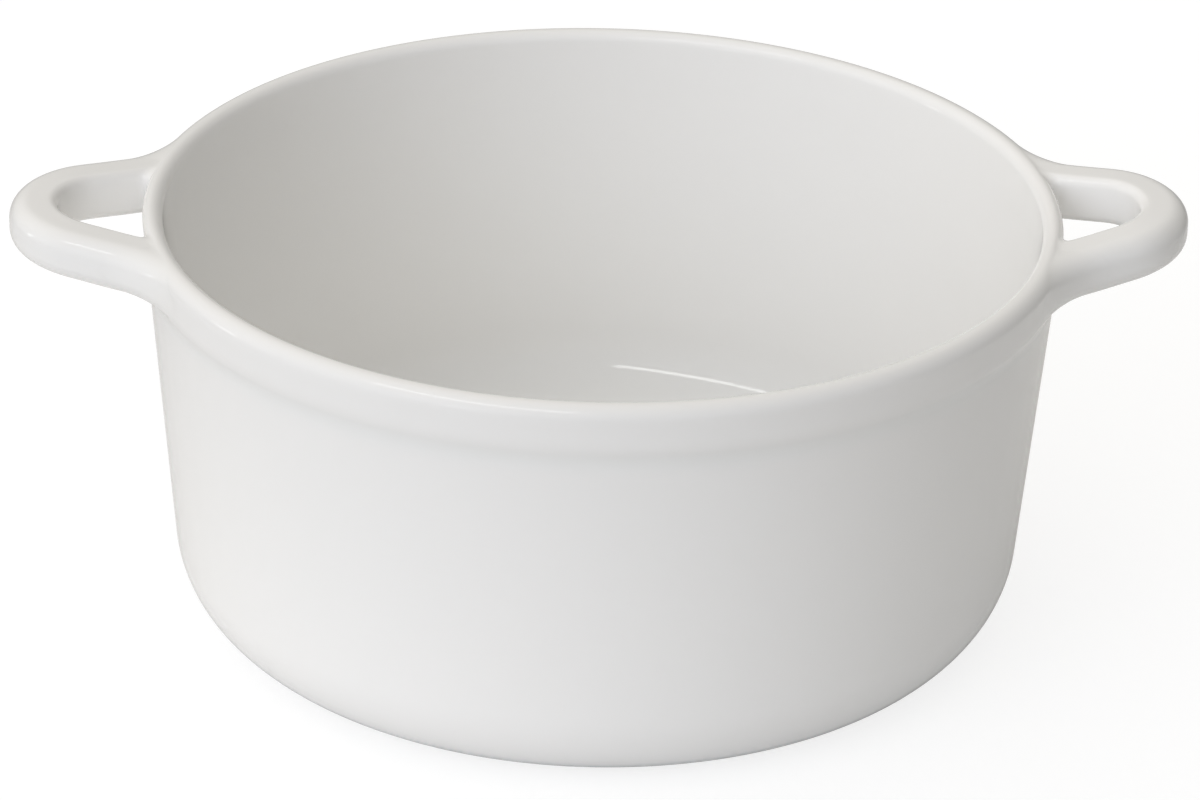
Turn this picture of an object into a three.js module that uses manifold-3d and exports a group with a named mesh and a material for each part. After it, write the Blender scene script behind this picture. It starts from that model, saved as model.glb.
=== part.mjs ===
// A round porcelain cocotte with two loop handles, in millimetres, +Z up.
// The origin is the centre of the foot ring, on the surface that the pot stands on.
// The handles lie along X.
// The pot is turned from one profile, and its rim's roll is pared away between the arms of each handle.
// Each handle is a separate casting, stuck to the rim at two roots by a layer of slip.
import * as THREE from "three";
import { mergeVertices } from "three/addons/utils/BufferGeometryUtils.js";
import Module from "manifold-3d";

// The pot
const RIM_DIAMETER = 239; // outside the rolled rim
const POT_HEIGHT = 114; // from the foot to the lip's crest
const WALL = 5.2; // square to the wall's face
const WALL_LEAN = THREE.MathUtils.degToRad(4.95); // the wall opens towards the rim
const HEEL_RADIUS = 25.5; // the rounded outside corner between the wall and the foot
const FLOOR = 7; // thickness under the food
const FLOOR_CORNER = 20; // the inside corner between the floor and the wall
const FOOT_HEIGHT = 3; // depth of the recess under the floor
const FOOT_WIDTH = 5.5; // the flat ring that the pot stands on
const FOOT_FILLET = 2; // where the ring meets the recess

// The rolled rim
const ROLL_HEIGHT = 17.8; // from the crest down to the plain wall
const ROLL_PROJECTION = 2.65; // from the rim's outside in to the wall at the roll's foot
const ROLL_EDGE = 12; // the rounding of the roll's lower edge
const ROLL_COVE = 14; // radius of the hollow that leads from the roll into the wall
const LIP_RADIUS = 3.6; // the rounding from the crest to the roll's face
const ROLL_TUCK = 2.5; // how far the roll stops behind a handle's inner face, under its root
const ROLL_STEP = 0.2; // where the paring starts, above the foot of the roll

// The handles
const HANDLE_REACH = 32.75; // from the rim's outside to the outside of the loop
const HANDLE_WIDTH = 12.5; // across the bar, seen from above
const HANDLE_HEIGHT = 12.6; // up and down the bar
const HANDLE_INNER_EDGE = 2.5; // corner radius of the bar's section, on the finger's side
const HANDLE_OUTER_EDGE = 5; // corner radius on its outside
const HANDLE_DROP = 6.5; // the bar's middle at the root, below the crest
const HANDLE_RISE = 1; // how much higher the loop's end is than its roots
const LOOP_RADIUS = 21; // the bend at the loop's end, at the middle of the bar
const ARM_SPLAY = THREE.MathUtils.degToRad(25); // the arms open towards the pot
const ROOT_FLARE = 4; // how much wider the bar is where it meets the rim
const ROOT_LENGTH = 16; // the stretch of each arm that flares

// The joints
const SLIP_THICKNESS = 0.8; // the layer of slip between a handle's root and the rim
const JOINT_GAP = 0.3; // clearance on each face of that layer

// Fineness of the curved surfaces
const TURN_STEPS = 64;
const ARC_STEPS = 3;
const SECTION_ARC_STEPS = 2;
const BAR_STEPS = 30;

const rimRadius = RIM_DIAMETER / 2;
const floorTop = FOOT_HEIGHT + FLOOR;
const wallTop = POT_HEIGHT - ROLL_HEIGHT;

// Radius of the wall's outside, or of that face grown by an offset, at a height.
function wallRadius(height, grow = 0) {
  const opening = (wallTop - height) * Math.tan(WALL_LEAN);
  return rimRadius - ROLL_PROJECTION - opening + grow / Math.cos(WALL_LEAN);
}

// The circle inside the pot that touches a level line and the wall's face, grown by an offset.
function cornerCircle(level, radius, grow) {
  const touch = level + radius * (1 - Math.sin(WALL_LEAN));
  return { r: wallRadius(touch, grow) - radius * Math.cos(WALL_LEAN), z: level + radius };
}

// The circles of the roll: the lip above its face, its lower edge and the cove that leads into the wall.
// The face between the lip and the lower edge is parallel to the wall and stands proud of it.
function rollCircles() {
  const both = ROLL_EDGE + ROLL_COVE;
  const lip = { r: rimRadius - LIP_RADIUS, z: POT_HEIGHT - LIP_RADIUS };
  const proud = LIP_RADIUS - (wallRadius(lip.z) - lip.r) * Math.cos(WALL_LEAN);
  const turn = WALL_LEAN + Math.acos(THREE.MathUtils.clamp(1 - proud / both, -1, 1));
  const cove = {
    r: wallRadius(wallTop) + ROLL_COVE * Math.cos(WALL_LEAN),
    z: wallTop - ROLL_COVE * Math.sin(WALL_LEAN),
  };
  const edge = { r: cove.r - both * Math.cos(turn), z: cove.z + both * Math.sin(turn) };
  return { lip, edge, cove, turn };
}

const roll = rollCircles();

// Draws the outside from the crest down to the foot, grown outwards by an offset.
function drawOutside(path, grow = 0) {
  const { lip, edge, cove, turn } = roll;
  const heel = cornerCircle(0, HEEL_RADIUS, 0);
  path.absarc(lip.r, lip.z, LIP_RADIUS + grow, Math.PI / 2, -WALL_LEAN, true);
  path.absarc(edge.r, edge.z, ROLL_EDGE + grow, -WALL_LEAN, -turn, true);
  path.absarc(cove.r, cove.z, ROLL_COVE - grow, Math.PI - turn, Math.PI - WALL_LEAN, false);
  path.absarc(heel.r, heel.z, HEEL_RADIUS + grow, -WALL_LEAN, -Math.PI / 2, true);
  return heel;
}

// The profile of the pot, from the middle of the floor over the rim to the middle of the underside.
function potProfile() {
  const path = new THREE.Path();
  const corner = cornerCircle(floorTop, FLOOR_CORNER, -WALL);
  const gap = roll.lip.r - wallRadius(POT_HEIGHT, -WALL);
  const innerLip = (gap * Math.cos(WALL_LEAN)) / (1 - Math.sin(WALL_LEAN));
  path.moveTo(0, floorTop);
  path.lineTo(corner.r, floorTop);
  path.absarc(corner.r, corner.z, FLOOR_CORNER, -Math.PI / 2, -WALL_LEAN, false);
  path.absarc(roll.lip.r, POT_HEIGHT - innerLip, innerLip, Math.PI - WALL_LEAN, Math.PI / 2, true);
  const heel = drawOutside(path);
  const footInside = heel.r - FOOT_WIDTH;
  path.lineTo(footInside, 0);
  path.absarc(footInside - FOOT_FILLET, FOOT_HEIGHT - FOOT_FILLET, FOOT_FILLET, 0, Math.PI / 2, false);
  path.lineTo(0, FOOT_HEIGHT);
  return path.getPoints(ARC_STEPS);
}

// The outline of the pot without its hollow, grown by an offset, which trims what is stuck to its outside.
function envelopeProfile(grow) {
  const path = new THREE.Path();
  path.moveTo(0, POT_HEIGHT + grow);
  path.lineTo(roll.lip.r, POT_HEIGHT + grow);
  drawOutside(path, grow);
  path.lineTo(0, -grow);
  return path.getPoints(ARC_STEPS);
}

// Turns a profile of radius and height about the Z axis.
function turned(points) {
  const upwards = points.slice().reverse();
  return new THREE.LatheGeometry(upwards, TURN_STEPS).rotateX(Math.PI / 2);
}

// The bar's section, a rectangle with rounded corners. The finger's side is at +X.
function barSection(width, height) {
  const inner = Math.min(HANDLE_INNER_EDGE, width / 2, height / 2);
  const outer = Math.min(HANDLE_OUTER_EDGE, width / 2, height / 2);
  const innerX = width / 2 - inner;
  const innerY = height / 2 - inner;
  const outerX = width / 2 - outer;
  const outerY = height / 2 - outer;
  const shape = new THREE.Shape();
  shape.absarc(innerX, innerY, inner, 0, Math.PI / 2, false);
  shape.absarc(-outerX, outerY, outer, Math.PI / 2, Math.PI, false);
  shape.absarc(-outerX, -outerY, outer, Math.PI, 1.5 * Math.PI, false);
  shape.absarc(innerX, -innerY, inner, 1.5 * Math.PI, 2 * Math.PI, false);
  return shape.getPoints(SECTION_ARC_STEPS);
}

// The bar's middle line from above: an arm, the bend and the other arm. The arms start inside the wall.
function barPlan() {
  const bend = rimRadius + HANDLE_REACH - HANDLE_WIDTH / 2 - LOOP_RADIUS;
  const touch = { x: bend + LOOP_RADIUS * Math.sin(ARM_SPLAY), y: LOOP_RADIUS * Math.cos(ARM_SPLAY) };
  const along = touch.x * Math.cos(ARM_SPLAY) - touch.y * Math.sin(ARM_SPLAY);
  const armAt = (radius) => {
    const outside = touch.x ** 2 + touch.y ** 2 - radius ** 2;
    const length = along - Math.sqrt(along ** 2 - outside);
    return { x: touch.x - length * Math.cos(ARM_SPLAY), y: touch.y + length * Math.sin(ARM_SPLAY) };
  };
  const root = armAt(rimRadius - WALL - HANDLE_WIDTH / 2);
  const innerFace = armAt(rimRadius).y - HANDLE_WIDTH / 2 / Math.cos(ARM_SPLAY);
  const plan = new THREE.Path();
  plan.moveTo(root.x, root.y);
  plan.lineTo(touch.x, touch.y);
  plan.absarc(bend, 0, LOOP_RADIUS, Math.PI / 2 - ARM_SPLAY, ARM_SPLAY - Math.PI / 2, true);
  plan.lineTo(root.x, -root.y);
  return { plan, root, innerFace, tip: bend + LOOP_RADIUS };
}

// Joins rings of points, each with as many points, into one closed skin with flat ends.
function loft(rings) {
  const count = rings[0].length;
  const positions = rings.flat().flatMap((point) => point.toArray());
  const faces = [];
  for (let ring = 0; ring + 1 < rings.length; ring += 1) {
    for (let side = 0; side < count; side += 1) {
      const a = ring * count + side;
      const b = ring * count + ((side + 1) % count);
      faces.push(a, b + count, b, a, a + count, b + count);
    }
  }
  const last = (rings.length - 1) * count;
  for (let side = 1; side + 1 < count; side += 1) {
    faces.push(0, side, side + 1, last, last + side + 1, last + side);
  }
  const geometry = new THREE.BufferGeometry();
  geometry.setAttribute("position", new THREE.Float32BufferAttribute(positions, 3));
  return geometry.setIndex(faces);
}

// The bar of the handle on the +X side, with flared arms that run on into the pot's wall.
function barGeometry() {
  const { plan, root, tip } = barPlan();
  const rootHeight = POT_HEIGHT - HANDLE_DROP;
  const rings = [];
  for (let step = 0; step <= BAR_STEPS; step += 1) {
    const share = step / BAR_STEPS;
    const middle = plan.getPointAt(share);
    const forward = plan.getTangentAt(share);
    const outwards = middle.length() - rimRadius;
    const flare = (1 - THREE.MathUtils.clamp(outwards / ROOT_LENGTH, 0, 1)) ** 2;
    const climb = THREE.MathUtils.smoothstep(middle.x, root.x, tip) * HANDLE_RISE;
    const width = HANDLE_WIDTH + ROOT_FLARE * flare;
    const outwardShift = (ROOT_FLARE / 2) * flare;
    const ring = barSection(width, HANDLE_HEIGHT).map((corner) => {
      const across = corner.x - outwardShift;
      return new THREE.Vector3(
        middle.x + forward.y * across,
        middle.y - forward.x * across,
        rootHeight + climb + corner.y,
      );
    });
    rings.push(ring);
  }
  return loft(rings);
}

const wasm = await Module();
wasm.setup();

// A closed geometry as a solid that can be cut and joined, without the triangles that collapse on the axis.
function solidOf(geometry) {
  const bare = geometry.clone();
  bare.deleteAttribute("normal");
  bare.deleteAttribute("uv");
  const merged = mergeVertices(bare, 1e-4);
  const corners = merged.index.array;
  const kept = [];
  for (let at = 0; at < corners.length; at += 3) {
    const [a, b, c] = corners.slice(at, at + 3);
    const flat = a === b || b === c || c === a;
    if (!flat) kept.push(a, b, c);
  }
  const mesh = new wasm.Mesh({
    numProp: 3,
    vertProperties: new Float32Array(merged.getAttribute("position").array),
    triVerts: new Uint32Array(kept),
  });
  return new wasm.Manifold(mesh);
}

// A solid as a geometry with flat-shaded faces.
function geometryOf(solid) {
  const mesh = solid.getMesh();
  const geometry = new THREE.BufferGeometry();
  geometry.setAttribute("position", new THREE.BufferAttribute(mesh.vertProperties, 3));
  geometry.setIndex(new THREE.BufferAttribute(mesh.triVerts, 1));
  const flat = geometry.toNonIndexed();
  flat.computeVertexNormals();
  return flat;
}

// The half of space on the +Y side, or on the -Y side, as far as the pot and its handles reach.
function halfSpace(side) {
  const reach = 2 * (rimRadius + HANDLE_REACH);
  const box = new THREE.BoxGeometry(2 * reach, reach, 2 * reach);
  return solidOf(box.translate(0, (side * reach) / 2, 0));
}

// What is left of the pot's outside at an offset, as a filled solid.
function envelope(grow) {
  return solidOf(turned(envelopeProfile(grow)));
}

// The pot, with the plain wall carried up to the lip between the arms of each handle.
function potGeometry() {
  const foot = wallTop + ROLL_STEP;
  const top = POT_HEIGHT + LIP_RADIUS;
  const far = rimRadius + HANDLE_REACH;
  const ring = [
    new THREE.Vector2(wallRadius(foot), foot),
    new THREE.Vector2(far, foot),
    new THREE.Vector2(far, top),
    new THREE.Vector2(wallRadius(top), top),
    new THREE.Vector2(wallRadius(foot), foot),
  ];
  const outsideWall = solidOf(new THREE.LatheGeometry(ring, TURN_STEPS).rotateX(Math.PI / 2));
  const betweenArms = 2 * (barPlan().innerFace + ROLL_TUCK);
  const slot = solidOf(new THREE.BoxGeometry(3 * far, betweenArms, 3 * far));
  return geometryOf(solidOf(turned(potProfile())).subtract(outsideWall.intersect(slot)));
}

const glaze = new THREE.MeshStandardMaterial({ color: 0xe6e5e2, roughness: 0.2, metalness: 0 });
const slip = new THREE.MeshStandardMaterial({ color: 0xd9d5cc, roughness: 0.8, metalness: 0 });

function piece(name, geometry, material) {
  const mesh = new THREE.Mesh(geometry, material);
  mesh.name = name;
  return mesh;
}

// One handle with its two layers of slip, on the +X side before its group is turned.
function handleGroup(side, positiveYEnd, negativeYEnd) {
  const bar = solidOf(barGeometry());
  const slipInside = envelope(JOINT_GAP);
  const slipOutside = envelope(JOINT_GAP + SLIP_THICKNESS);
  const handleSeat = envelope(2 * JOINT_GAP + SLIP_THICKNESS);
  const layers = bar.intersect(slipOutside).subtract(slipInside);
  const group = new THREE.Group();
  group.add(piece(`${side}_handle`, geometryOf(bar.subtract(handleSeat)), glaze));
  group.add(piece(`${side}_${positiveYEnd}_slip`, geometryOf(layers.intersect(halfSpace(1))), slip));
  group.add(piece(`${side}_${negativeYEnd}_slip`, geometryOf(layers.intersect(halfSpace(-1))), slip));
  return group;
}

const cocotte = new THREE.Group();
cocotte.name = "cocotte";
cocotte.add(piece("pot_body", potGeometry(), glaze));
cocotte.add(handleGroup("right", "rear", "front"));
const left = handleGroup("left", "front", "rear");
left.rotation.z = Math.PI;
cocotte.add(left);

export default cocotte;
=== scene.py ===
"""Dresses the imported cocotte: a white porcelain pot with a rolled rim and a loop handle on each side.

Every finished piece is in metres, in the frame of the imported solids: +Z up, the handles along X and
the foot on the ground.
"""

import logging
import math
from dataclasses import dataclass, field
from enum import Enum

import bmesh
import bpy
from mathutils import Matrix, Vector
from mathutils.kdtree import KDTree


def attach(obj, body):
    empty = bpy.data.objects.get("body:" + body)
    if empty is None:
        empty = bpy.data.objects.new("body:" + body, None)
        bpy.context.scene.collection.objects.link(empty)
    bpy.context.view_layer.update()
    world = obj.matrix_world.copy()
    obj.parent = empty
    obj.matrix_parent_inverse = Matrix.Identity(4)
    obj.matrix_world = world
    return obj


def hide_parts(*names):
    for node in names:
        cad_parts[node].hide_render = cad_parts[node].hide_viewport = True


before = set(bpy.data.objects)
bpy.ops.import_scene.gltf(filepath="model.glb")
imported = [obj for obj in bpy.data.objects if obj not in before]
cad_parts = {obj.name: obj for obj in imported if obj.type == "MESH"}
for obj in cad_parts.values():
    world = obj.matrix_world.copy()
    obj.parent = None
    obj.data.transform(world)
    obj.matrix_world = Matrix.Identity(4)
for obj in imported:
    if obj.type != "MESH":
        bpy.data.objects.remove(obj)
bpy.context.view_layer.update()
MM = 0.001
BODY = "root"
# A length that is too small to count.
TINY = 1e-6
# A search by halving: how often it halves, and the furthest run that it tries, in millimetres.
HALVINGS = 40
FURTHEST = 60.0
# The span that most of a noise value lies in.
CLOUDY = (0.3, 0.7)
WHITE = (1.0, 1.0, 1.0, 1.0)
Pair = tuple[float, float]
Colour = tuple[float, float, float, float]
log = logging.getLogger("cocotte")


class Side(Enum):
    """The side of the pot that a handle is on, as the sign of X."""

    LEFT = -1
    RIGHT = 1

    @property
    def word(self) -> str:
        """The side's name as the solids spell it."""
        return self.name.lower()


class Root(Enum):
    """The end of a handle, as the sign of Y."""

    FRONT = -1
    REAR = 1

    @property
    def word(self) -> str:
        """The root's name as the solids spell it."""
        return self.name.lower()


def clear_selection() -> None:
    """Leaves edit mode and deselects every object."""
    if bpy.context.object and bpy.context.object.mode != "OBJECT":
        bpy.ops.object.mode_set(mode="OBJECT")
    bpy.ops.object.select_all(action="DESELECT")


def smooth_by_angle(piece: bpy.types.Object, degrees: float) -> None:
    """Shades a piece smooth and keeps the edges that turn by more than an angle sharp.

    Args:
        piece: The mesh object to shade.
        degrees: The angle above which an edge stays sharp.
    """
    clear_selection()
    bpy.context.view_layer.objects.active = piece
    piece.select_set(True)
    bpy.ops.object.shade_smooth_by_angle(angle=math.radians(degrees))
    clear_selection()


def arc(centre: Pair, radius: float, start: float, end: float, steps: int) -> list[Vector]:
    """Points on an arc in the plane of radius and height.

    Args:
        centre: The arc's centre.
        radius: Its radius.
        start: The first angle, in radians.
        end: The last angle.
        steps: The number of stretches.

    Returns:
        The points from the first angle to the last, both included.
    """
    turn = (end - start) / steps
    angles = [start + turn * step for step in range(steps + 1)]
    return [Vector((centre[0] + radius * math.cos(a), centre[1] + radius * math.sin(a))) for a in angles]


def line(start: Vector, end: Vector, steps: int) -> list[Vector]:
    """Points between two points, without the ends."""
    return [start.lerp(end, step / steps) for step in range(1, steps)]


def smoothstep(low: float, high: float, value: float) -> float:
    """A soft step from 0 at the low end to 1 at the high end."""
    share = min(max((value - low) / (high - low), 0.0), 1.0)
    return share * share * (3 - 2 * share)


@dataclass(frozen=True)
class PotProfile:
    """The pot's section from its axis to its outside, in millimetres, as the solids have it."""

    rim_radius: float = 119.5
    height: float = 114.0
    wall: float = 5.2
    lean: float = math.radians(4.95)
    heel_radius: float = 25.5
    floor: float = 7.0
    floor_corner: float = 20.0
    foot_height: float = 3.0
    foot_width: float = 5.5
    foot_fillet: float = 2.0
    roll_height: float = 17.8
    roll_projection: float = 2.65
    roll_edge: float = 12.0
    roll_cove: float = 14.0
    lip_radius: float = 3.6
    lip_steps: int = 12
    band_steps: int = 6
    roll_steps: int = 10
    corner_steps: int = 12
    floor_steps: int = 6
    wall_steps: int = 8
    heel_steps: int = 24
    fillet_steps: int = 6
    ring_steps: int = 3
    recess_steps: int = 5

    @property
    def wall_top(self) -> float:
        """Height at which the plain wall starts below the roll."""
        return self.height - self.roll_height

    @property
    def floor_top(self) -> float:
        """Height of the floor inside."""
        return self.foot_height + self.floor

    def wall_radius(self, height: float, inset: float = 0.0) -> float:
        """Radius of the wall's outside at a height, or of the face that lies an inset behind it."""
        opening = (self.wall_top - height) * math.tan(self.lean)
        return self.rim_radius - self.roll_projection - opening - inset / math.cos(self.lean)

    def corner(self, level: float, radius: float, inset: float) -> Pair:
        """Centre of the circle that touches the wall's face and a level line.

        Args:
            level: The height of the level line.
            radius: The circle's radius.
            inset: How far the face lies behind the wall's outside.

        Returns:
            The centre's radius and height.
        """
        touch = level + radius * (1 - math.sin(self.lean))
        return self.wall_radius(touch, inset) - radius * math.cos(self.lean), level + radius

    def rolled_rim(self) -> list[Vector]:
        """The rim with its roll, a band parallel to the wall, from the lip's crest to the plain wall."""
        both = self.roll_edge + self.roll_cove
        lip = (self.rim_radius - self.lip_radius, self.height - self.lip_radius)
        proud = self.lip_radius - (self.wall_radius(lip[1]) - lip[0]) * math.cos(self.lean)
        turn = self.lean + math.acos(1 - proud / both)
        cove_r = self.wall_radius(self.wall_top) + self.roll_cove * math.cos(self.lean)
        cove_z = self.wall_top - self.roll_cove * math.sin(self.lean)
        edge = (cove_r - both * math.cos(turn), cove_z + both * math.sin(turn))
        points = arc(lip, self.lip_radius, math.pi / 2, -self.lean, self.lip_steps)
        lower = arc(edge, self.roll_edge, -self.lean, -turn, self.roll_steps)
        start, end = math.pi - turn, math.pi - self.lean
        cove = arc((cove_r, cove_z), self.roll_cove, start, end, self.roll_steps)
        return points + line(points[-1], lower[0], self.band_steps) + lower + cove[1:]

    def plain_rim(self) -> list[Vector]:
        """The rim where the roll is pared away, under the same crest and with as many points."""
        crest = self.rolled_rim()[0].x
        lip = (self.wall_radius(self.height) - crest) * math.cos(self.lean) / (1 + math.sin(self.lean))
        points = arc((crest, self.height - lip), lip, math.pi / 2, -self.lean, self.lip_steps)
        foot = Vector((self.wall_radius(self.wall_top), self.wall_top))
        return points + line(points[-1], foot, self.band_steps + 2 * self.roll_steps) + [foot]

    def inside(self, crest: float) -> list[Vector]:
        """The hollow, from the middle of the floor to just short of a lip's crest of a given radius."""
        corner = self.corner(self.floor_top, self.floor_corner, self.wall)
        gap = crest - self.wall_radius(self.height, self.wall)
        lip = gap * math.cos(self.lean) / (1 - math.sin(self.lean))
        bend = arc(corner, self.floor_corner, -math.pi / 2, -self.lean, self.corner_steps)
        edge = arc((crest, self.height - lip), lip, math.pi - self.lean, math.pi / 2, self.lip_steps)
        middle = Vector((0.0, self.floor_top))
        points = [middle] + line(middle, bend[0], self.floor_steps) + bend
        return points + line(bend[-1], edge[0], self.wall_steps) + edge[:-1]

    def below(self) -> list[Vector]:
        """The wall's outside, the heel, the foot ring and the recess, from the roll down to the axis."""
        corner = self.corner(0.0, self.heel_radius, 0.0)
        heel = arc(corner, self.heel_radius, -self.lean, -math.pi / 2, self.heel_steps)
        top = Vector((self.wall_radius(self.wall_top), self.wall_top))
        inner = heel[-1].x - self.foot_width
        hub = (inner - self.foot_fillet, self.foot_height - self.foot_fillet)
        fillet = arc(hub, self.foot_fillet, 0.0, math.pi / 2, self.fillet_steps)
        ring = Vector((inner, 0.0))
        centre = Vector((0.0, self.foot_height))
        points = line(top, heel[0], self.wall_steps) + heel + line(heel[-1], ring, self.ring_steps) + [ring]
        return points + fillet + line(fillet[-1], centre, self.recess_steps) + [centre]

    def full(self, rim: list[Vector]) -> list[Vector]:
        """The closed section with a given rim, from the axis round to the axis."""
        return self.inside(rim[0].x) + rim + self.below()


@dataclass
class PotSkin:
    """The pot's outside as a surface that a root can be laid on, in millimetres.

    A place on it is an angle about the axis and a run down the section from the lip's crest.
    The roll is pared away between the arms of each handle, and starts under their roots.
    """

    profile: PotProfile
    pared_to: float = 22.0
    rolled_from: float = 31.0
    probe: float = 0.05
    rolled: list[Vector] = field(init=False)
    plain: list[Vector] = field(init=False)
    runs: list[float] = field(init=False)

    def __post_init__(self) -> None:
        """Measures the section's length point by point."""
        below = self.profile.below()
        self.rolled = self.profile.rolled_rim() + below
        self.plain = self.profile.plain_rim() + below
        self.runs = [0.0]
        for before, after in zip(self.rolled, self.rolled[1:]):
            self.runs.append(self.runs[-1] + (after - before).length)

    def pared(self, angle: float) -> float:
        """The share of the roll that is pared away at an angle about the axis."""
        away = abs(math.sin(angle)) * self.profile.rim_radius
        return 1.0 - smoothstep(self.pared_to, self.rolled_from, away)

    def section(self, run: float, pared: float) -> Vector:
        """Radius and height at a run down the section, where a share of the roll is pared away."""
        run = min(max(run, 0.0), self.runs[-1] - TINY)
        at = next(index for index in range(1, len(self.runs)) if self.runs[index] >= run)
        share = (run - self.runs[at - 1]) / (self.runs[at] - self.runs[at - 1])
        rolled = self.rolled[at - 1].lerp(self.rolled[at], share)
        return rolled.lerp(self.plain[at - 1].lerp(self.plain[at], share), pared)

    def run_at(self, height: float, pared: float) -> float:
        """The run down the section at which the outside reaches a height."""
        low, high = 0.0, FURTHEST
        for _ in range(HALVINGS):
            middle = (low + high) / 2
            if self.section(middle, pared).y > height:
                low = middle
            else:
                high = middle
        return (low + high) / 2

    def place(self, angle: float, run: float, sink: float = 0.0) -> Vector:
        """A point on the surface, or below it by a sink."""
        pared = self.pared(angle)
        spot = self.section(run, pared)
        ahead = self.section(run + self.probe, pared) - self.section(run - self.probe, pared)
        inward = Vector((ahead.y, -ahead.x)).normalized()
        spot = spot + inward * sink
        return Vector((spot.x * math.cos(angle), spot.x * math.sin(angle), spot.y))

    def normal(self, angle: float, run: float) -> Vector:
        """The surface's outward direction."""
        return (self.place(angle, run) - self.place(angle, run, 1.0)).normalized()

    def depth(self, point: Vector) -> float:
        """How far a point is inside the outside's radius at its own height; negative outside it."""
        pared = self.pared(math.atan2(point.y, point.x))
        return self.section(self.run_at(point.z, pared), pared).x - math.hypot(point.x, point.y)


@dataclass
class PotBody:
    """The turned pot: floor, foot ring, wall and rolled rim."""

    skin: PotSkin
    turns: int = 384
    sharp_above: float = 40.0

    def build(self) -> bpy.types.Object:
        """Traces the section with extrusions, spins it about the axis and pares the roll.

        Returns:
            The finished mesh object.
        """
        clear_selection()
        profile = self.skin.profile
        section = profile.full(profile.rolled_rim())
        bpy.ops.mesh.primitive_plane_add(size=MM)
        piece = bpy.context.object
        piece.name = piece.data.name = "pot"
        bpy.ops.object.mode_set(mode="EDIT")
        bpy.ops.mesh.select_all(action="SELECT")
        bpy.ops.mesh.merge(type="CENTER")
        bpy.ops.transform.translate(value=(section[0].x * MM, 0.0, section[0].y * MM))
        for before, after in zip(section, section[1:]):
            step = (after - before) * MM
            bpy.ops.mesh.extrude_vertices_move(TRANSFORM_OT_translate={"value": (step.x, 0.0, step.y)})
        bpy.ops.mesh.select_all(action="SELECT")
        bpy.ops.mesh.spin(steps=self.turns, angle=2 * math.pi, center=(0, 0, 0), axis=(0, 0, 1))
        bpy.ops.mesh.select_all(action="SELECT")
        bpy.ops.mesh.remove_doubles(threshold=TINY)
        bpy.ops.mesh.normals_make_consistent(inside=False)
        bpy.ops.object.mode_set(mode="OBJECT")
        self.pare(piece, section, profile.full(profile.plain_rim()))
        smooth_by_angle(piece, self.sharp_above)
        return piece

    def pare(self, piece: bpy.types.Object, section: list[Vector], plain: list[Vector]) -> None:
        """Takes the roll off between the arms of each handle.

        Args:
            piece: The turned pot.
            section: The section that it was turned from.
            plain: The same section without the roll, point for point.
        """
        finder = KDTree(len(section))
        for number, spot in enumerate(section):
            finder.insert((spot.x, spot.y, 0.0), number)
        finder.balance()
        for vert in piece.data.vertices:
            radius = vert.co.xy.length
            number = finder.find((radius / MM, vert.co.z / MM, 0.0))[1]
            move = plain[number] - section[number]
            if move.length < TINY:
                continue
            share = self.skin.pared(math.atan2(vert.co.y, vert.co.x))
            scale = 1 + move.x * MM * share / radius
            vert.co = (vert.co.x * scale, vert.co.y * scale, vert.co.z + move.y * MM * share)


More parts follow.
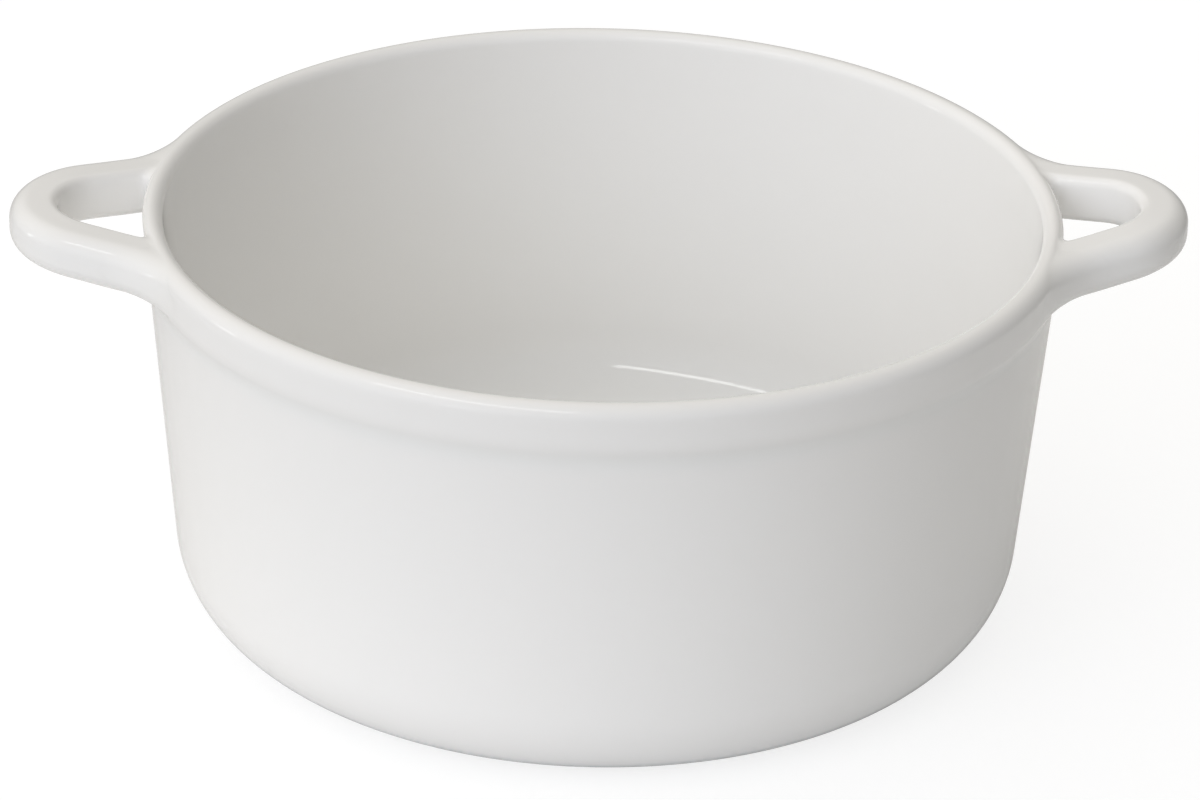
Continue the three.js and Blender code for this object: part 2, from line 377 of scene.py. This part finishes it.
@dataclass
class LoopHandle:
    """One loop handle, in millimetres: a bar that leaves the rim, rounds the fingers and comes back."""

    side: Side
    skin: PotSkin
    reach: float = 32.75
    width: float = 12.5
    height: float = 12.6
    inner_edge: float = 2.5
    outer_edge: float = 5.0
    drop: float = 6.8
    rise: float = 1.45
    loop_radius: float = 21.0
    splay: float = math.radians(25)
    sunk: float = 2.2
    climb_from: float = 6.0
    search_from: float = 0.8
    arm_rings: int = 26
    bend_rings: int = 44
    inner_steps: int = 8
    outer_steps: int = 10
    face_steps: int = 5
    sharp_above: float = 45.0

    @property
    def bend(self) -> float:
        """Distance of the bend's centre from the pot's axis."""
        return self.skin.profile.rim_radius + self.reach - self.width / 2 - self.loop_radius

    @property
    def half_bend(self) -> float:
        """Length of the bar's middle line from the loop's end to where an arm starts."""
        return self.loop_radius * (math.pi / 2 - self.splay)

    def section(self) -> list[Vector]:
        """The bar's section, with the fingers' side at +X, corner by corner.

        Returns:
            The points, anticlockwise, from the middle of the fingers' side.
        """
        half_x, half_y = self.width / 2, self.height / 2
        inner, outer = self.inner_edge, self.outer_edge
        corners = [
            arc((half_x - inner, half_y - inner), inner, 0.0, math.pi / 2, self.inner_steps),
            arc((outer - half_x, half_y - outer), outer, math.pi / 2, math.pi, self.outer_steps),
            arc((outer - half_x, outer - half_y), outer, math.pi, 1.5 * math.pi, self.outer_steps),
            arc((half_x - inner, inner - half_y), inner, 1.5 * math.pi, 2 * math.pi, self.inner_steps),
        ]
        points: list[Vector] = []
        for corner, following in zip(corners, corners[1:] + corners[:1]):
            points += corner + line(corner[-1], following[0], self.face_steps)
        return points

    def middle(self, run: float) -> tuple[Vector, Vector]:
        """The bar's middle line, on the +X side.

        Args:
            run: Length from the loop's end, positive towards the rear root.

        Returns:
            The point and the direction in which the run grows.
        """
        sign = math.copysign(1.0, run)
        length = abs(run)
        if length <= self.half_bend:
            angle = length / self.loop_radius
            x = self.bend + self.loop_radius * math.cos(angle)
            y = self.loop_radius * math.sin(angle)
            ahead = Vector((-math.sin(angle), math.cos(angle), 0.0))
        else:
            angle = math.pi / 2 - self.splay
            further = length - self.half_bend
            ahead = Vector((-math.sin(angle), math.cos(angle), 0.0))
            x = self.bend + self.loop_radius * math.cos(angle) + ahead.x * further
            y = self.loop_radius * math.sin(angle) + ahead.y * further
        low = self.skin.profile.rim_radius - self.climb_from
        climb = self.rise * smoothstep(low, self.bend + self.loop_radius, x)
        z = self.skin.profile.height - self.drop + climb
        return Vector((x, sign * y, z)), Vector((ahead.x * sign, ahead.y, 0.0))

    def surface(self, corner: Vector, run: float) -> Vector:
        """A point on the bar's skin, for a point of its section and a run along its middle line."""
        spot, ahead = self.middle(run)
        inwards = Vector((-ahead.y, ahead.x, 0.0))
        return spot + inwards * corner.x + Vector((0.0, 0.0, corner.y))

    def entry(self, corner: Vector, root: Root, depth: float = 0.0) -> float:
        """The run at which the bar's skin reaches a depth below the pot's outside.

        Args:
            corner: The point of the section.
            root: The end of the handle.
            depth: How far below the outside, along the radius.

        Returns:
            The run, with the root's sign.
        """
        low, high = self.half_bend * self.search_from, self.half_bend + FURTHEST
        for _ in range(HALVINGS):
            middle = (low + high) / 2
            if self.skin.depth(self.surface(corner, root.value * middle)) < depth:
                low = middle
            else:
                high = middle
        return root.value * (low + high) / 2

    def turned(self, point: Vector) -> Vector:
        """Carries a point of the +X side to the handle's own side, in metres."""
        sign = self.side.value
        return Vector((point.x * sign, point.y, point.z)) * MM

    def build(self) -> bpy.types.Object:
        """Extrudes the bar's section ring by ring from one root round to the other.

        Returns:
            The finished mesh object.
        """
        section = self.section()
        starts = [self.entry(corner, Root.FRONT, self.sunk) for corner in section]
        ends = [self.entry(corner, Root.REAR, self.sunk) for corner in section]
        shares: list[tuple[int, float]] = [(0, step / self.arm_rings) for step in range(self.arm_rings)]
        shares += [(1, step / self.bend_rings) for step in range(self.bend_rings)]
        shares += [(2, step / self.arm_rings) for step in range(self.arm_rings + 1)]
        clear_selection()
        half = self.width * MM / 2
        bpy.ops.mesh.primitive_circle_add(vertices=len(section), radius=half, fill_type="NGON")
        piece = bpy.context.object
        piece.name = piece.data.name = f"{self.side.word}_loop"
        bpy.ops.object.mode_set(mode="EDIT")
        bpy.ops.mesh.select_all(action="SELECT")
        for number, (stretch, share) in enumerate(shares):
            if number:
                bpy.ops.mesh.extrude_region()
            runs = []
            for start, end in zip(starts, ends):
                knots = (start, -self.half_bend, self.half_bend, end)
                runs.append(knots[stretch] + (knots[stretch + 1] - knots[stretch]) * share)
            places = [self.turned(self.surface(corner, run)) for corner, run in zip(section, runs)]
            self.place_ring(piece, places)
        bpy.ops.mesh.select_all(action="SELECT")
        bpy.ops.mesh.normals_make_consistent(inside=False)
        bpy.ops.object.mode_set(mode="OBJECT")
        smooth_by_angle(piece, self.sharp_above)
        return piece

    @staticmethod
    def place_ring(piece: bpy.types.Object, places: list[Vector]) -> None:
        """Moves the selected ring's points to their places, in the order in which they were made."""
        mesh = bmesh.from_edit_mesh(piece.data)
        ring = sorted((vert for vert in mesh.verts if vert.select), key=lambda vert: vert.index)
        for vert, place in zip(ring, places):
            vert.co = place
        mesh.normal_update()
        bmesh.update_edit_mesh(piece.data)


@dataclass
class SlipFillet:
    """The slip that joins one root to the rim, sponged to a fillet, in millimetres.

    Each of its sections leaves the bar along the bar and lands on the pot along the pot's skin.
    """

    handle: LoopHandle
    root: Root
    outer: float = 15.0
    inner: float = 5.0
    top: float = 1.0
    under: float = 2.0
    fullness: float = 0.62
    least_run: float = 0.25
    hidden_depth: float = 1.2
    hidden_tuck: float = 0.6
    root_run: float = 5.0
    blank_radii: Pair = (10.0, 2.0)
    steps: int = 24
    sharp_above: float = 45.0

    def rows(self) -> list[list[Vector]]:
        """The fillet's sections, one for each point of the bar's section.

        Returns:
            For each section, its points from the bar to the pot and one hidden point between them.
        """
        middle = Vector((0.0, 0.0))
        centre = self.handle.surface(middle, self.handle.entry(middle, self.root))
        centre_angle = math.atan2(centre.y, centre.x)
        centre_run = self.handle.skin.run_at(centre.z, 0.0)
        return [self.row(corner, centre_angle, centre_run) for corner in self.handle.section()]

    def row(self, corner: Vector, centre_angle: float, centre_run: float) -> list[Vector]:
        """One section of the fillet.

        Args:
            corner: The point of the bar's section that it starts from.
            centre_angle: The angle about the pot's axis at which the bar's middle meets the pot.
            centre_run: The run down the pot's section at which it does.

        Returns:
            The points from the bar to the pot, and one hidden in the wall.
        """
        skin, sign = self.handle.skin, self.root.value
        run = self.handle.entry(corner, self.root)
        touch = self.handle.surface(corner, run)
        radius = touch.xy.length
        angle = math.atan2(touch.y, touch.x)
        down = skin.run_at(touch.z, skin.pared(angle))
        aim = Vector(((angle - centre_angle) * radius * sign, down - centre_run)).normalized()
        aside = aim.x * (self.outer if aim.x > 0 else self.inner)
        along = aim.y * (self.under if aim.y > 0 else self.top)
        width = math.hypot(aside, along)
        far_angle = angle + sign * aside / radius
        far_down = max(down + along, self.least_run)
        near = self.handle.surface(corner, run - sign * width)
        far = skin.place(far_angle, far_down)
        lift = skin.normal(far_angle, far_down)
        landing = touch + lift * (far - touch).dot(lift)
        leave = near.lerp(touch, self.fullness)
        land = far.lerp(landing, self.fullness)
        curve = []
        for step in range(self.steps + 1):
            share = (1 - math.cos(math.pi * step / self.steps)) / 2
            rest = 1 - share
            leaving = near * rest**3 + leave * 3 * rest**2 * share
            curve.append(leaving + land * 3 * rest * share**2 + far * share**3)
        hidden = skin.place(angle, down, self.hidden_depth) - self.outwards(corner) * self.hidden_tuck
        return curve + [hidden]

    def outwards(self, corner: Vector) -> Vector:
        """The direction from the bar's middle to a point of its section, at the root."""
        ahead = self.handle.middle(self.root.value * (self.handle.half_bend + self.root_run))[1]
        inwards = Vector((-ahead.y, ahead.x, 0.0))
        return (inwards * corner.x + Vector((0.0, 0.0, corner.y))).normalized()

    def build(self) -> bpy.types.Object:
        """Shapes a ring into the fillet.

        Returns:
            The finished mesh object.
        """
        rows = self.rows()
        clear_selection()
        wide, thick = self.blank_radii
        bpy.ops.mesh.primitive_torus_add(
            major_segments=len(rows),
            minor_segments=len(rows[0]),
            major_radius=wide * MM,
            minor_radius=thick * MM,
        )
        piece = bpy.context.object
        piece.name = piece.data.name = f"{self.handle.side.word}_{self.root.word}_fillet"
        places = [self.handle.turned(point) for row in rows for point in row]
        for vert, place in zip(piece.data.vertices, places):
            vert.co = place
        bpy.ops.object.mode_set(mode="EDIT")
        bpy.ops.mesh.select_all(action="SELECT")
        bpy.ops.mesh.normals_make_consistent(inside=False)
        bpy.ops.object.mode_set(mode="OBJECT")
        smooth_by_angle(piece, self.sharp_above)
        return piece


Feed = bpy.types.NodeSocket | float | tuple[float, ...]


@dataclass
class NodeBench:
    """A node tree, with the small tools that wire it."""

    tree: bpy.types.NodeTree

    def feed(self, value: Feed, socket: bpy.types.NodeSocket) -> None:
        """Links a socket to another node's output, or sets it to a constant."""
        if isinstance(value, bpy.types.NodeSocket):
            self.tree.links.new(value, socket)
        else:
            socket.default_value = value

    def maths(self, operation: str, first: Feed, second: Feed = 0.0) -> bpy.types.NodeSocket:
        """Works out one operation on two values."""
        node = self.tree.nodes.new("ShaderNodeMath")
        node.operation = operation
        self.feed(first, node.inputs[0])
        self.feed(second, node.inputs[1])
        return node.outputs[0]

    def span(self, value: Feed, start: float, end: float, low: float, high: float) -> bpy.types.NodeSocket:
        """Carries a value softly from one span to another, and holds it at the ends.

        Args:
            value: The value.
            start: Where the first span starts.
            end: Where it ends.
            low: The result at the start.
            high: The result at the end.

        Returns:
            The result.
        """
        node = self.tree.nodes.new("ShaderNodeMapRange")
        node.interpolation_type = "SMOOTHSTEP"
        self.feed(value, node.inputs["Value"])
        for name, number in zip(("From Min", "From Max", "To Min", "To Max"), (start, end, low, high)):
            node.inputs[name].default_value = number
        return node.outputs["Result"]

    def noise(self, place: Feed, scale: float, detail: float) -> bpy.types.NodeSocket:
        """A cloudy value from 0 to 1 over the object's own coordinates."""
        node = self.tree.nodes.new("ShaderNodeTexNoise")
        self.feed(place, node.inputs["Vector"])
        node.inputs["Scale"].default_value = scale
        node.inputs["Detail"].default_value = detail
        return node.outputs["Fac"]

    def blend(self, share: Feed, first: Feed, second: Feed) -> bpy.types.NodeSocket:
        """Mixes two colours."""
        node = self.tree.nodes.new("ShaderNodeMix")
        node.data_type = "RGBA"
        self.feed(share, node.inputs[0])
        self.feed(first, node.inputs[6])
        self.feed(second, node.inputs[7])
        return node.outputs[2]

    def place(self) -> tuple[bpy.types.NodeSocket, bpy.types.NodeSocket, bpy.types.NodeSocket]:
        """The object's own coordinates, the radius from the pot's axis and the height."""
        spot = self.tree.nodes.new("ShaderNodeTexCoord").outputs["Object"]
        parts = self.tree.nodes.new("ShaderNodeSeparateXYZ")
        self.feed(spot, parts.inputs[0])
        east = self.maths("MULTIPLY", parts.outputs["X"], parts.outputs["X"])
        north = self.maths("MULTIPLY", parts.outputs["Y"], parts.outputs["Y"])
        radius = self.maths("SQRT", self.maths("ADD", east, north))
        return spot, radius, parts.outputs["Z"]

    def give(self, results: dict[str, tuple[str, bpy.types.NodeSocket]]) -> None:
        """Makes a group's outputs from a name, a socket type and the value of each."""
        for name, (kind, _) in results.items():
            self.tree.interface.new_socket(name, in_out="OUTPUT", socket_type=kind)
        end = self.tree.nodes.new("NodeGroupOutput")
        for name, (_, value) in results.items():
            self.tree.links.new(value, end.inputs[name])


@dataclass(frozen=True)
class GlazeCoat:
    """The white glaze: even on the walls, thin and warm on the lip, darker and cooler in the inside corner
    and the cove under the roll, as pooled glaze and painted shade.

    Heights and radii are in metres. A pair of them is where a soft step starts and where it ends.
    """

    body: Colour = (0.89, 0.88, 0.86, 1.0)
    # Darker and cooler: pooled glaze, and painted shade in the inside floor and corner and under the roll.
    pool_and_shade: Colour = (0.86, 0.863, 0.847, 1.0)
    edge: Colour = (0.885, 0.868, 0.838, 1.0)
    speck: Colour = (0.62, 0.57, 0.50, 1.0)
    roughness: Pair = (0.30, 0.36)
    rough_scale: float = 38.0
    inside_radius: float = 0.1015
    inside_slope: float = 0.22
    corner_heights: Pair = (0.010, 0.034)
    cove_height: float = 0.0985
    cove_reach: float = 0.005
    outside_radii: Pair = (0.1145, 0.1155)
    pool_and_shade_share: float = 0.6
    cloud_scale: float = 16.0
    cloud_share: float = 0.12
    lip_heights: Pair = (0.1115, 0.1142)
    lip_share: float = 0.45
    speck_scale: float = 120.0
    speck_rarity: float = 0.92
    speck_edge: Pair = (0.012, 0.024)
    speck_share: float = 0.35
    wave_scale: float = 60.0
    wave_share: float = 0.85
    peel_scale: float = 420.0
    peel_share: float = 0.15

    def group(self) -> bpy.types.NodeTree:
        """Builds the group, with a colour, a roughness and a height for a bump."""
        tree = bpy.data.node_groups.new("glaze_coat", "ShaderNodeTree")
        bench = NodeBench(tree)
        spot, radius, height = bench.place()
        # Painted shade with pooled glaze: darker on the inside floor and corner and in the cove under the
        # roll.
        slope = bench.maths("MULTIPLY", height, self.inside_slope)
        indoors = bench.maths("LESS_THAN", radius, bench.maths("ADD", slope, self.inside_radius))
        corner = bench.maths("MULTIPLY", bench.span(height, *self.corner_heights, 1.0, 0.0), indoors)
        from_cove = bench.maths("ABSOLUTE", bench.maths("SUBTRACT", height, self.cove_height))
        below_roll = bench.span(from_cove, 0.0, self.cove_reach, 1.0, 0.0)
        outdoors = bench.span(radius, *self.outside_radii, 0.0, 1.0)
        cove = bench.maths("MULTIPLY", bench.maths("MULTIPLY", below_roll, outdoors), self.pool_and_shade_share)
        pool_and_shade_mask = bench.maths("MAXIMUM", bench.maths("MULTIPLY", corner, self.pool_and_shade_share), cove)
        cloud = bench.span(bench.noise(spot, self.cloud_scale, 2.0), *CLOUDY, 0.0, self.cloud_share)
        pooled_and_shaded = bench.blend(bench.maths("ADD", pool_and_shade_mask, cloud), self.body, self.pool_and_shade)
        thin = bench.span(height, *self.lip_heights, 0.0, self.lip_share)
        plain = bench.blend(thin, pooled_and_shaded, self.edge)
        cells = tree.nodes.new("ShaderNodeTexVoronoi")
        cells.inputs["Scale"].default_value = self.speck_scale
        tree.links.new(spot, cells.inputs["Vector"])
        shade = tree.nodes.new("ShaderNodeSeparateColor")
        tree.links.new(cells.outputs["Color"], shade.inputs[0])
        chosen = bench.maths("GREATER_THAN", shade.outputs[0], self.speck_rarity)
        spots = bench.span(cells.outputs["Distance"], *self.speck_edge, self.speck_share, 0.0)
        colour = bench.blend(bench.maths("MULTIPLY", spots, chosen), plain, self.speck)
        rough = bench.span(bench.noise(spot, self.rough_scale, 2.0), *CLOUDY, *self.roughness)
        waves = bench.maths("MULTIPLY", bench.noise(spot, self.wave_scale, 1.0), self.wave_share)
        peel = bench.maths("MULTIPLY", bench.noise(spot, self.peel_scale, 1.0), self.peel_share)
        bench.give(
            {
                "Colour": ("NodeSocketColor", colour),
                "Roughness": ("NodeSocketFloat", rough),
                "Height": ("NodeSocketFloat", bench.maths("ADD", waves, peel)),
            }
        )
        return tree


@dataclass(frozen=True)
class WipedFoot:
    """The bare ring that was wiped free of glaze, so that the pot didn't stick in the kiln.

    Its top is a height in metres, and its edge lies between two shares of that height.
    """

    pale: Colour = (0.80, 0.765, 0.70, 1.0)
    dark: Colour = (0.70, 0.655, 0.585, 1.0)
    roughness: Pair = (0.68, 0.85)
    top: float = 0.00028
    edge: Pair = (0.85, 1.15)
    ragged_scale: float = 130.0
    grain_scale: float = 1400.0
    grain_span: Pair = (0.2, 0.8)

    def group(self) -> bpy.types.NodeTree:
        """Builds the group, with a mask and the bare clay's colour and roughness."""
        tree = bpy.data.node_groups.new("wiped_foot", "ShaderNodeTree")
        bench = NodeBench(tree)
        spot, _, height = bench.place()
        wander = bench.maths("SUBTRACT", bench.noise(spot, self.ragged_scale, 3.0), 0.5)
        ragged = bench.maths("ADD", height, bench.maths("MULTIPLY", wander, self.top))
        low, high = self.edge
        mask = bench.span(ragged, self.top * low, self.top * high, 1.0, 0.0)
        grain = bench.noise(spot, self.grain_scale, 3.0)
        bench.give(
            {
                "Bare": ("NodeSocketFloat", mask),
                "Colour": ("NodeSocketColor", bench.blend(grain, self.dark, self.pale)),
                "Roughness": ("NodeSocketFloat", bench.span(grain, *self.grain_span, *self.roughness)),
            }
        )
        return tree


@dataclass(frozen=True)
class Porcelain:
    """The pot's finish: a gloss white glaze, with a bare ring where the pot stands."""

    name: str = "glazed_porcelain"
    coat_roughness: float = 0.07
    specular: float = 0.1
    bump: float = 0.03
    wave: float = 0.0008
    coat: GlazeCoat = GlazeCoat()
    foot: WipedFoot = WipedFoot()

    def material(self) -> bpy.types.Material:
        """Builds the finish's nodes.

        Returns:
            The material.
        """
        made = bpy.data.materials.new(self.name)
        made.use_nodes = True
        tree = made.node_tree
        bench = NodeBench(tree)
        shader = tree.nodes["Principled BSDF"]
        glaze = tree.nodes.new("ShaderNodeGroup")
        glaze.node_tree = self.coat.group()
        bare = tree.nodes.new("ShaderNodeGroup")
        bare.node_tree = self.foot.group()
        mask = bare.outputs["Bare"]
        colour = bench.blend(mask, glaze.outputs["Colour"], bare.outputs["Colour"])
        difference = bench.maths("SUBTRACT", bare.outputs["Roughness"], glaze.outputs["Roughness"])
        rough = bench.maths("ADD", glaze.outputs["Roughness"], bench.maths("MULTIPLY", difference, mask))
        wavy = tree.nodes.new("ShaderNodeBump")
        wavy.inputs["Strength"].default_value = self.bump
        wavy.inputs["Distance"].default_value = self.wave
        tree.links.new(glaze.outputs["Height"], wavy.inputs["Height"])
        bench.feed(colour, shader.inputs["Base Color"])
        bench.feed(rough, shader.inputs["Roughness"])
        bench.feed(wavy.outputs["Normal"], shader.inputs["Normal"])
        bench.feed(bench.maths("SUBTRACT", 1.0, mask), shader.inputs["Coat Weight"])
        shader.inputs["Coat Roughness"].default_value = self.coat_roughness
        shader.inputs["Specular IOR Level"].default_value = self.specular
        return made


def grey(level: float) -> Colour:
    """An even colour between black and white."""
    return (level, level, level, 1.0)


@dataclass(frozen=True)
class SkyLight:
    """A soft round light in the sky, which matt surfaces take. Its side and height are in degrees."""

    side: float
    height: float
    narrowness: float
    peak: float
    tint: Colour


@dataclass(frozen=True)
class Lamp:
    """A lamp that only the glaze mirrors. Its side and height are in degrees, its size in metres."""

    name: str
    side: float
    height: float
    size: Pair
    watts: float


# A cool key at the front left, a broad warm fill at the back left and a weak light in front.
KEY = SkyLight(side=232.0, height=24.0, narrowness=14.0, peak=3.08, tint=(0.928, 0.977, 1.096, 1.0))
FILL = SkyLight(side=140.0, height=30.0, narrowness=0.8, peak=1.03, tint=(1.05, 1.012, 0.938, 1.0))
FRONT = SkyLight(side=290.0, height=50.0, narrowness=4.0, peak=0.87, tint=(1.01, 1.0, 0.98, 1.0))
# Seen in the glaze: a high strip and a low softbox at the front left, and a window at the left.
STRIP = Lamp("strip", side=231.0, height=54.0, size=(1.4, 0.15), watts=3.4)
SOFTBOX = Lamp("softbox", side=236.0, height=8.0, size=(0.3, 0.12), watts=0.5)
WINDOW = Lamp("window", side=172.0, height=8.0, size=(0.22, 0.25), watts=0.45)


@dataclass
class Studio:
    """The pale floor, the soft light and the camera at the photo's viewing angle."""

    focal: float = 172.2
    sensor: float = 36.0
    nearest: float = 0.05
    distance: float = 1.5
    elevation: float = math.radians(26.32)
    roll: float = math.radians(1.35)
    azimuth: float = math.radians(2.5)
    target: Vector = field(default_factory=lambda: Vector((0.000323, 0.0, 0.057563)))
    lights: tuple[SkyLight, ...] = (KEY, FILL, FRONT)
    mirrored_sky: float = 0.45
    lamps: tuple[Lamp, ...] = (STRIP, SOFTBOX, WINDOW)
    lamp_distance: float = 2.0
    floor_size: float = 40.0
    sheet_radii: Pair = (0.30, 0.60)
    sheet_grey: float = 0.92
    room_grey: float = 0.3
    seen_grey: float = 0.25
    seen_glow: float = 0.8
    mirrored_share: float = 0.35
    mirrored_glow: float = 0.1

    @staticmethod
    def aim(side: float, height: float) -> Vector:
        """The direction at an angle about the vertical and an angle above the floor, in degrees."""
        about, above = math.radians(side), math.radians(height)
        level = math.cos(above)
        return Vector((level * math.cos(about), level * math.sin(about), math.sin(above)))

    def camera(self) -> None:
        """Places the camera."""
        back = Vector((0.0, -math.cos(self.elevation), math.sin(self.elevation)))
        right = Vector((1.0, 0.0, 0.0))
        up = back.cross(right)
        side = right * math.cos(self.roll) + up * math.sin(self.roll)
        top = up * math.cos(self.roll) - right * math.sin(self.roll)
        spot = self.target + back * self.distance
        pose = Matrix((side, top, back)).transposed().to_4x4()
        pose.translation = spot
        lens = bpy.data.cameras.new("camera")
        lens.lens = self.focal
        lens.sensor_width = self.sensor
        lens.clip_start = self.nearest
        viewer = bpy.data.objects.new("camera", lens)
        viewer.matrix_world = Matrix.Rotation(-self.azimuth, 4, "Z") @ pose
        bpy.context.scene.collection.objects.link(viewer)
        bpy.context.scene.camera = viewer

    def floor(self) -> None:
        """Lays the floor: a pale sheet in a darker room, nearly white to the eye, with the pot's shadow."""
        clear_selection()
        bpy.ops.mesh.primitive_plane_add(size=self.floor_size, location=(0, 0, 0))
        ground = bpy.context.object
        ground.name = "floor"
        paint = bpy.data.materials.new("floor_paint")
        paint.use_nodes = True
        tree = paint.node_tree
        bench = NodeBench(tree)
        shader = tree.nodes["Principled BSDF"]
        shader.inputs["Roughness"].default_value = 1.0
        shader.inputs["Specular IOR Level"].default_value = 0.0
        shader.inputs["Emission Color"].default_value = WHITE
        path = tree.nodes.new("ShaderNodeLightPath")
        seen, glossy = path.outputs["Is Camera Ray"], path.outputs["Is Glossy Ray"]
        mirrored = bench.maths("MAXIMUM", glossy, path.outputs["Is Transmission Ray"])
        away = bench.span(bench.place()[1], *self.sheet_radii, 0.0, 1.0)
        sheet = bench.blend(away, grey(self.sheet_grey), grey(self.room_grey))
        share = bench.maths("MAXIMUM", seen, bench.maths("MULTIPLY", mirrored, self.mirrored_share))
        bench.feed(bench.blend(share, sheet, grey(self.seen_grey)), shader.inputs["Base Color"])
        to_eye = bench.maths("MULTIPLY", seen, self.seen_glow)
        to_glaze = bench.maths("MULTIPLY", mirrored, self.mirrored_glow)
        bench.feed(bench.maths("ADD", to_eye, to_glaze), shader.inputs["Emission Strength"])
        ground.data.materials.append(paint)

    def sky(self) -> None:
        """Sets the world: lights for matt surfaces, white for the eye, a dimmer white for the glaze."""
        world = bpy.data.worlds.new("studio")
        bpy.context.scene.world = world
        world.use_nodes = True
        tree = world.node_tree
        bench = NodeBench(tree)
        look = tree.nodes.new("ShaderNodeTexCoord").outputs["Generated"]
        path = tree.nodes.new("ShaderNodeLightPath")
        seen, glossy = path.outputs["Is Camera Ray"], path.outputs["Is Glossy Ray"]
        matt = bench.maths("SUBTRACT", 1.0, bench.maths("MAXIMUM", seen, glossy))
        layers: list[tuple[bpy.types.NodeSocket, Colour]] = []
        for light in self.lights:
            layers.append((bench.maths("MULTIPLY", self.lobe(bench, look, light), matt), light.tint))
        mirrored = bench.maths("MULTIPLY", glossy, self.mirrored_sky)
        layers.append((bench.maths("MAXIMUM", seen, mirrored), WHITE))
        total = None
        for strength, colour in layers:
            layer = tree.nodes.new("ShaderNodeBackground")
            layer.inputs["Color"].default_value = colour
            bench.feed(strength, layer.inputs["Strength"])
            if total is None:
                total = layer.outputs[0]
                continue
            both = tree.nodes.new("ShaderNodeAddShader")
            bench.feed(total, both.inputs[0])
            bench.feed(layer.outputs[0], both.inputs[1])
            total = both.outputs[0]
        bench.feed(total, tree.nodes["World Output"].inputs["Surface"])

    def lobe(self, bench: NodeBench, look: Feed, light: SkyLight) -> bpy.types.NodeSocket:
        """Spreads a light softly about its middle.

        Args:
            bench: The world's nodes.
            look: The direction that is looked in.
            light: The light.

        Returns:
            Its strength in that direction.
        """
        facing = bench.tree.nodes.new("ShaderNodeVectorMath")
        facing.operation = "DOT_PRODUCT"
        bench.feed(look, facing.inputs[0])
        facing.inputs[1].default_value = self.aim(light.side, light.height)
        ahead = bench.maths("MAXIMUM", facing.outputs["Value"], 0.0)
        return bench.maths("MULTIPLY", bench.maths("POWER", ahead, light.narrowness), light.peak)

    def hang(self, lamp: Lamp) -> None:
        """Hangs a lamp, turned to the pot."""
        glow = bpy.data.lights.new(lamp.name, "AREA")
        glow.shape = "RECTANGLE"
        glow.size, glow.size_y = lamp.size
        glow.energy = lamp.watts
        holder = bpy.data.objects.new(lamp.name, glow)
        holder.location = self.aim(lamp.side, lamp.height) * self.lamp_distance
        holder.rotation_euler = (holder.location - self.target).to_track_quat("Z", "Y").to_euler()
        holder.visible_diffuse = False
        holder.visible_camera = False
        bpy.context.scene.collection.objects.link(holder)

    def build(self) -> None:
        """Sets up all of it."""
        self.camera()
        self.floor()
        self.sky()
        for lamp in self.lamps:
            self.hang(lamp)


def fit_piece(piece: bpy.types.Object, paint: bpy.types.Material, slot: str, *nodes: str) -> None:
    """Dresses a finished piece, seats it on the pot's body and lets it stand for its solids.

    Args:
        piece: The finished mesh object.
        paint: Its material.
        slot: The record's material slot; not used.
        nodes: The solids that it stands for.
    """
    piece.data.materials.clear()
    piece.data.materials.append(paint)
    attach(piece, BODY)
    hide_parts(*nodes)
    log.info("%s stands for %s with %d faces", piece.name, ", ".join(nodes), len(piece.data.polygons))


def main() -> None:
    """Builds the pot, its handles, their joints and the studio."""
    logging.basicConfig(level=logging.INFO, format="%(name)s: %(message)s")
    bpy.context.scene.view_settings.view_transform = "Standard"
    skin = PotSkin(PotProfile())
    glaze = Porcelain().material()
    fit_piece(PotBody(skin).build(), glaze, "glaze", "pot_body")
    handles = [LoopHandle(Side.LEFT, skin), LoopHandle(Side.RIGHT, skin, reach=31.5, rise=2.35)]
    for handle in handles:
        side = handle.side
        fit_piece(handle.build(), glaze, "glaze", f"{side.word}_handle")
        for root in Root:
            fit_piece(SlipFillet(handle, root).build(), glaze, "glaze", f"{side.word}_{root.word}_slip")
    Studio().build()


if __name__ == "__main__":
    main()
